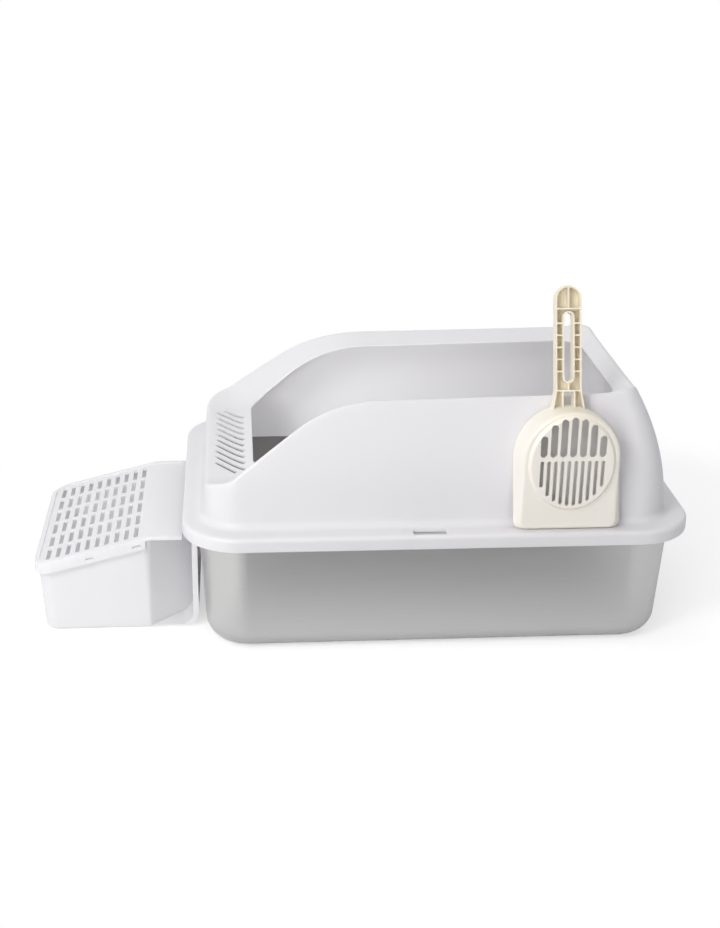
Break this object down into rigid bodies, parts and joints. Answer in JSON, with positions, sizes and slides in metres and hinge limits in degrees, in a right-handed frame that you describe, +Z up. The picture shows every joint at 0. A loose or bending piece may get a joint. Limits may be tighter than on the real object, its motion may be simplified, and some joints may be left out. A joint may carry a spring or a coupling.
{
  "type": "cat litter box with hood",
  "caption": "Deep steel litter pan under a white open-topped hood with a dipped, slitted entry, a slotted entry step beside it and a slotted scoop leaning on the hood.",
  "frame": {"origin": "middle of the pan's underside, on the floor", "axes": "+X along the box away from the entry step, +Z up, +Y away from the scoop's side"},
  "size_m": [0.7995, 0.424, 0.4399],
  "materials": {
    "pan_steel": "satin drawn stainless sheet",
    "white_plastic": "smooth satin moulding",
    "cream_plastic": "smooth satin moulding"
  },
  "bodies": {
    "pan": {"litter_pan": "pan_steel"},
    "hood": {"hood": "white_plastic"},
    "scoop": {"scoop": "cream_plastic"},
    "step": {"step_base": "white_plastic"},
    "step_lid": {"step_lid": "white_plastic"}
  },
  "joints": [
    {"name": "hood_lift", "type": "slide", "parent": "pan", "child": "hood", "axis": [0, 0, 1], "range_m": [0, 0.2]},
    {"name": "scoop_lift", "type": "slide", "parent": "hood", "child": "scoop", "axis": [0, 0, 1], "range_m": [0, 0.16]},
    {"name": "step_pull", "type": "slide", "parent": "pan", "child": "step", "axis": [-1, 0, 0], "range_m": [0, 0.15]},
    {"name": "lid_lift", "type": "slide", "parent": "step", "child": "step_lid", "axis": [0, 0, 1], "range_m": [0, 0.1]}
  ]
}
